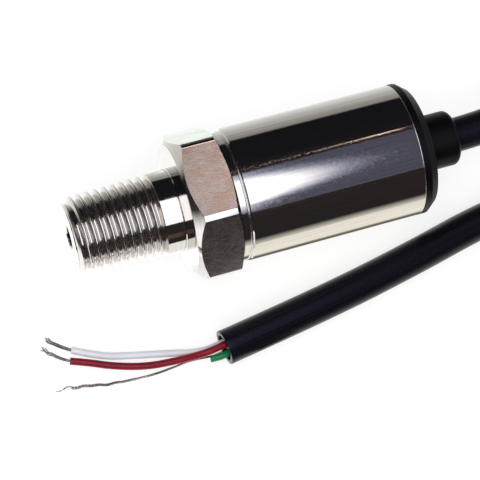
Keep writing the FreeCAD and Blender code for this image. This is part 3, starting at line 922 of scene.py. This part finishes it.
@dataclass
class Cable:
    """The lead: black jacket, its coil, and the cores that stand out of the cut end.

    The sizes of its lay are in millimetres.
    """

    radius: float = 2.9 * MM
    length: float = 0.5                 # when pulled straight
    rest: float = 2.95                  # height of the lower layer's middle
    coil_middle: Pair = (97.0, -1.0)
    coil_radius: float = 23.0
    coil_straight: float = 33.0
    coil_entry: float = 135.0           # angles at which the cable joins and leaves the coil
    coil_exit: float = -125.0
    layer: float = 5.85                 # from the lower layer up to the upper one
    step: float = 9.0                   # between the coil's control points

    def coil_point(self, travel: float) -> Vector:
        """A point of the oval coil, wound clockwise on top and then once more underneath.

        Args:
            travel: Millimetres wound since the cable joined the coil.

        Returns:
            The point.
        """
        arc = math.pi * self.coil_radius
        half = arc + self.coil_straight
        place = (travel + arc * (270 - self.coil_entry) / 180) % (2 * half)
        side = 1 if place < half else -1
        place %= half
        if place < arc:
            turn = math.radians(-90 - 180 * place / arc)
            x = self.coil_radius * math.cos(turn) - self.coil_straight / 2
            y = self.coil_radius * math.sin(turn)
        else:
            x, y = place - arc - self.coil_straight / 2, self.coil_radius
        # the cable steps down to the lower layer before its second lap
        top = self.coil_run() - 2 * half
        down = min(max((travel - top) / (2 * half - top), 0), 1)
        return mm(self.coil_middle[0] + side * x, self.coil_middle[1] + side * y,
                  self.rest + self.layer * (1 + math.cos(math.pi * down)) / 2)

    def coil_run(self) -> float:
        """Length of cable in the coil, in millimetres."""
        swept = math.radians(self.coil_entry - self.coil_exit + 360)
        return swept * self.coil_radius + 4 * self.coil_straight

    def route(self) -> list[Vector]:
        """Lays the cable out.

        Returns:
            The route's points, from inside the cap to the cut end.
        """
        near = [(19.2, 0, 11.1), (33.8, 0, 11.1), (42.5, 0.55, 11.6), (51.0, 4.1, 11.5),
                (58.6, 9.85, 10.5)]
        run = self.coil_run()
        steps = round(run / self.step)
        coil = [self.coil_point(run * index / steps) for index in range(steps + 1)]
        far = [(59.0, -14.7), (49.1, -11.7), (36.6, -12.6), (21.9, -16.1), (4.6, -19.5),
               (-13.0, -22.1)]
        return [mm(*place) for place in near] + coil + [mm(*place, self.rest) for place in far]

    def build(self) -> Object:
        """Returns:
            The jacket's curve.
        """
        points = self.route()
        end = CutEnd(points[-1], (points[-1] - points[-2]).normalized(), self.radius)
        points[-1] = end.middle - end.heading * end.recess
        jacket = curve_of("cable", [points], self.radius)
        settle(jacket, "cable", Stuff.JACKET, "cable_jacket")
        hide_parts("cable_near", "cable_coil", "cable_far")
        pieces = [end.build()]
        for core in CORES:
            pieces += core.build(end)
        pieces.append(self.drain(end))
        return jacket

    def drain(self, end: CutEnd) -> Object:
        """Models the bare drain wire that lies under the cores.

        Args:
            end: The jacket's end that the wire comes out of.

        Returns:
            Its strands.
        """
        points = end.way_out((-0.1, -1.7), 2.2)
        points += [mm(*place) for place in (
            (-18.4, -21.95, 0.35), (-21.4, -22.3, 0.25), (-25.2, -22.6, 0.25),
            (-29.0, -22.4, 0.25), (-32.9, -22.05, 0.3), (-36.8, -21.15, 0.3),
            (-41.0, -20.6, 0.3))]
        return Twist("drain_strands", "drain_wire", 7, 0.065 * MM, (0.1 * MM, 0.2 * MM),
                     3.2 * MM, 0.14 * MM, 0.12).build(points)


# --- studio -----------------------------------

@dataclass
class Studio:
    """Camera, floor, lamp and the cards that the bright steel mirrors."""

    camera_at: Triple = (-0.07394, -0.09645, 0.31104)
    right: Triple = (0.94411, -0.30666, 0.12087)
    up: Triple = (0.25397, 0.9105, 0.32632)
    back: Triple = (-0.21012, -0.27739, 0.9375)
    lens: float = 150.0

    def build(self) -> None:
        """Makes the whole studio."""
        self.camera()
        self.world()
        self.floor()
        self.lamp()
        self.cards()
        bpy.context.scene.view_settings.view_transform = "Standard"

    def camera(self) -> None:
        """Makes the camera and makes it the scene's."""
        data = bpy.data.cameras.new("camera")
        data.lens = self.lens
        data.sensor_width = 36.0
        data.clip_start, data.clip_end = 0.01, 20.0
        camera = bpy.data.objects.new("camera", data)
        turn = Matrix((self.right, self.up, self.back)).transposed()
        camera.matrix_world = Matrix.Translation(self.camera_at) @ turn.to_4x4()
        bpy.context.scene.collection.objects.link(camera)
        bpy.context.scene.camera = camera

    def world(self) -> None:
        """White to the camera, plain light to the surfaces, a dark room to reflections."""
        world = bpy.data.worlds.new("room")
        bpy.context.scene.world = world
        world.use_nodes = True
        tree = world.node_tree
        tree.nodes.clear()
        path = add_node(tree, "LightPath").outputs
        heading = add_node(tree, "TexCoord").outputs["Generated"]
        apart = add_node(tree, "SeparateXYZ", {"Vector": heading}).outputs
        # a lighter band lies low behind the part
        low = add_node(tree, "MapRange", {
            "Value": apart["Z"], "From Min": 0.1, "From Max": 0.17, "To Min": 1.0, "To Max": 0.0})
        back = add_node(tree, "MapRange", {"Value": apart["Y"], "From Min": 0.0, "From Max": 0.3})
        band = add_node(tree, "Math", {0: low, 1: back}, operation="MULTIPLY")
        room = add_node(tree, "Mix", {
            "Factor": band, "A": linear("18181C"), "B": linear("A4A49E")}, data_type="RGBA")
        mirrored = add_node(tree, "Background", {"Color": room})
        plain = add_node(tree, "Background", {"Color": (1, 1, 1, 1), "Strength": 0.6})
        seen = add_node(tree, "Background", {"Color": (1, 1, 1, 1)})
        other = add_node(tree, "MixShader", {"Fac": path["Is Glossy Ray"], 1: plain, 2: mirrored})
        final = add_node(tree, "MixShader", {"Fac": path["Is Camera Ray"], 1: other, 2: seen})
        add_node(tree, "OutputWorld", {"Surface": final})

    def floor(self) -> None:
        """A plain white table top that keeps a faint shadow."""
        bpy.ops.mesh.primitive_plane_add(size=8, location=(0, 0, 0))
        table = bpy.context.object
        table.name = "table_top"
        table.data.materials.append(new_material("white_paper", self.paper))

    def paper(self, tree: NodeTree) -> Node:
        """White paper, lit from within to the camera and with its own light to the steel.

        Args:
            tree: The table top's nodes.

        Returns:
            The shader node.
        """
        path = add_node(tree, "LightPath").outputs
        shown = add_node(tree, "Math", {
            0: path["Is Camera Ray"], 1: path["Is Transmission Ray"]}, operation="MAXIMUM")
        paper = add_node(tree, "BsdfDiffuse", {"Color": (0.8, 0.8, 0.8, 1)})
        shade = add_node(tree, "BsdfDiffuse", {"Color": (0.4, 0.4, 0.4, 1)})
        glow = add_node(tree, "Emission", {"Color": (1, 1, 1, 1), "Strength": 0.72})
        both = add_node(tree, "AddShader", {0: shade, 1: glow})
        mix = add_node(tree, "MixShader", {"Fac": shown, 1: paper, 2: both})
        return add_node(tree, "MixShader", {
            "Fac": path["Is Glossy Ray"], 1: mix, 2: self.mirrored_paper(tree)})

    def mirrored_paper(self, tree: NodeTree) -> Node:
        """The light of the table top as the steel mirrors it.

        It is brightest beside the part and falls off behind it and past the thread, and it is
        a little creamy in front of the housing.

        Args:
            tree: The table top's nodes.

        Returns:
            The emission node.
        """
        place = add_node(tree, "TexCoord").outputs["Object"]
        apart = add_node(tree, "SeparateXYZ", {"Vector": place}).outputs
        depth = add_node(tree, "MapRange", {"Value": apart["Y"], "From Min": 0.0, "From Max": 0.2})
        behind = add_node(tree, "ValToRGB", {"Fac": depth},
                          stops=[(0.0, "FFFFFF"), (0.085, "E8E8E8"), (0.115, "DBDBDA"),
                                 (0.17, "C9C9C6"), (0.31, "B2B2AF"), (1.0, "969694")])
        ahead = add_node(tree, "MapRange", {
            "Value": apart["Y"], "From Min": 0.0, "From Max": -0.06})
        creamy = add_node(tree, "ValToRGB", {"Fac": ahead},
                          stops=[(0.42, "E8E6DA"), (0.63, "B2B0A8"), (0.77, "7D7B74"),
                                 (0.9, "4A4845")])
        housing = add_node(tree, "MapRange", {
            "Value": apart["X"], "From Min": -0.013, "From Max": -0.004})
        front = add_node(tree, "Mix", {
            "Factor": housing, "A": (1, 1, 1, 1), "B": creamy}, data_type="RGBA")
        side = add_node(tree, "Math", {0: apart["Y"], 1: 0.0}, operation="GREATER_THAN")
        paper = add_node(tree, "Mix", {"Factor": side, "A": front, "B": behind}, data_type="RGBA")
        past = add_node(tree, "MapRange", {
            "Value": apart["X"], "From Min": -0.13, "From Max": -0.07,
            "To Min": 0.04, "To Max": 1.45})
        return add_node(tree, "Emission", {"Color": paper, "Strength": past})

    def lamp(self) -> None:
        """A large soft lamp above the part; steel mirrors the softbox card in its place."""
        data = bpy.data.lights.new("soft_lamp", "AREA")
        data.shape = "RECTANGLE"
        data.size, data.size_y = 0.6, 0.6
        data.energy = 2.0
        lamp = bpy.data.objects.new("soft_lamp", data)
        place = Vector((-0.1, -0.28, 0.62))
        lamp.matrix_world = Matrix.Translation(place) @ place.normalized().to_track_quat(
            "Z", "Y").to_matrix().to_4x4()
        lamp.visible_glossy = False
        lamp.visible_camera = False
        bpy.context.scene.collection.objects.link(lamp)

    def cards(self) -> None:
        """Adds the lamp's card and the painted reflections that steel mirrors: lath, walls, dark
        cards.
        """
        up = (math.pi / 2, 0, 0)
        wall = (0, math.pi / 2, 0)
        self.card("softbox_card", (-0.02, -0.454, 0.61), (0.86, 1.152), light=self.softbox)
        self.card("lath_card", (0.0765, 0.0905, 0.3), (0.073, 0.024), (0, 0, -0.2), "FFE1D1", 3.2)
        self.card("white_sheet", (-0.0064, 0.026, 0.0003), (0.0096, 0.02), colour="F3FEFA",
                  strength=1.5)
        self.card("right_wall", (0.9, -0.3, 0.56), (0.88, 1.0), wall, "B4B0C4", 2.6)
        self.card("left_wall", (-0.9, -0.12, 0.56), (0.88, 0.5), wall, "B4B0C4")
        # painted dark reflections: dark cards standing in front and lying on the table, one with a
        # light line and one with a brown line
        self.card("dark_board", (0.1, -0.056, 0.0266), (1.2, 0.0532), up, "302A2B")
        self.card("board_edge", (0.14, -0.056, 0.0541), (0.32, 0.0018), up, "6E6972")
        self.card("brown_edge", (-0.028, -0.0558, 0.0158), (0.043, 0.0125), up, "5F4A46")
        self.card("dark_cloth", (-0.061, -0.045, 0.0004), (0.118, 0.022), colour="302A2B")
        self.card("dark_patch", (-0.0028, -0.03, 0.0004), (0.0076, 0.008), colour="302A2B")
        self.card("cream_card", (0.0095, -0.016, 0.0064), (0.065, 0.015), light=self.cream)

    def softbox(self, tree: NodeTree) -> Node:
        """The lamp that steel mirrors, which fades across a bowed edge over the housing.

        Args:
            tree: The card's nodes.

        Returns:
            The shader node.
        """
        spot = add_node(tree, "TexCoord").outputs["Object"]
        apart = add_node(tree, "SeparateXYZ", {"Vector": spot}).outputs
        slant = add_node(tree, "Math", {0: apart["Y"], 1: 0.0865, 2: apart["X"]},
                         operation="MULTIPLY_ADD")
        off = add_node(tree, "MapRange", {
            "Value": apart["Y"], "From Min": -0.56, "From Max": 0.05,
            "To Min": -0.34, "To Max": 0.34})
        square = add_node(tree, "Math", {0: off, 1: off}, operation="MULTIPLY")
        bowed = add_node(tree, "Math", {0: square, 1: 0.25, 2: slant}, operation="MULTIPLY_ADD")
        place = add_node(tree, "MapRange", {"Value": bowed, "From Min": 0.141, "From Max": 0.206})
        light = add_node(tree, "ValToRGB", {"Fac": place},
                         stops=[(0.033, "FBFBFF"), (0.1, "DFE0E6"), (0.167, "CACCD3"),
                                (0.2, "BDBFC8"), (0.267, "A8ABB6"), (0.342, "8A8C9E"),
                                (0.408, "6E7084"), (0.533, "5C5E70"), (0.7, "3D3E4B")])
        return add_node(tree, "Emission", {"Color": light, "Strength": 2.0})

    def cream(self, tree: NodeTree) -> Node:
        """Table light between the housing and the cable, with the shade under the housing.

        Args:
            tree: The card's nodes.

        Returns:
            The shader node, which rays from below pass through.
        """
        spot = add_node(tree, "TexCoord").outputs["Object"]
        apart = add_node(tree, "SeparateXYZ", {"Vector": spot}).outputs
        place = add_node(tree, "MapRange", {
            "Value": apart["Y"], "From Min": -0.0135, "From Max": -0.0095})
        shade = add_node(tree, "ValToRGB", {"Fac": place},
                         stops=[(0.15, "FCFAEF"), (0.26, "C6C2B2"), (0.4, "807C70"),
                                (0.56, "56524A"), (0.72, "7C7A74"), (0.9, "D0D0CC")])
        housing = add_node(tree, "Math", {0: apart["X"], 1: -0.0062}, operation="GREATER_THAN")
        colour = add_node(tree, "Mix", {
            "Factor": housing, "A": (1, 1, 1, 1), "B": shade}, data_type="RGBA")
        light = add_node(tree, "Emission", {"Color": colour, "Strength": 1.2})
        below = add_node(tree, "NewGeometry").outputs["Backfacing"]
        clear = add_node(tree, "BsdfTransparent")
        return add_node(tree, "MixShader", {"Fac": below, 1: light, 2: clear})

    def card(self, name: str, place: Triple, size: Pair, turn: Triple = (0, 0, 0),
             colour: str = "FFFFFF", strength: float = 1.0,
             light: Optional[Shader] = None) -> None:
        """Adds a glowing card that only reflections see.

        Args:
            name: The card's name.
            place: Its middle.
            size: Its two sides before it is turned.
            turn: Its rotation.
            colour: Hex colour of its light.
            strength: Strength of its light.
            light: Makes its shader instead, where its light isn't plain.
        """
        bpy.ops.mesh.primitive_plane_add(size=1, location=place, rotation=turn)
        card = bpy.context.object
        card.name = name
        card.scale = (*size, 1)
        only(card)
        bpy.ops.object.transform_apply(location=True, rotation=True, scale=True)
        card.data.materials.append(new_material(name, light or (lambda tree: add_node(
            tree, "Emission", {"Color": linear(colour), "Strength": strength}))))
        for ray in ("camera", "diffuse", "shadow", "transmission"):
            setattr(card, "visible_" + ray, False)


def main() -> None:
    """Builds the studio and the pieces."""
    logging.basicConfig(level=logging.INFO, format="%(name)s: %(message)s")
    Studio().build()
    dress_nodes()
    PipeThread().build()
    SeamRing("weld_bead", TUBE[0].x - 0.13 * MM, TUBE[1].y - 0.33 * MM, 0.2 * MM).build()
    SeamRing("rolled_lip", TUBE[1].x - 0.08 * MM, TUBE[1].y - 0.05 * MM, 0.08 * MM).build()
    Cable().build()


if __name__ == "__main__":
    main()
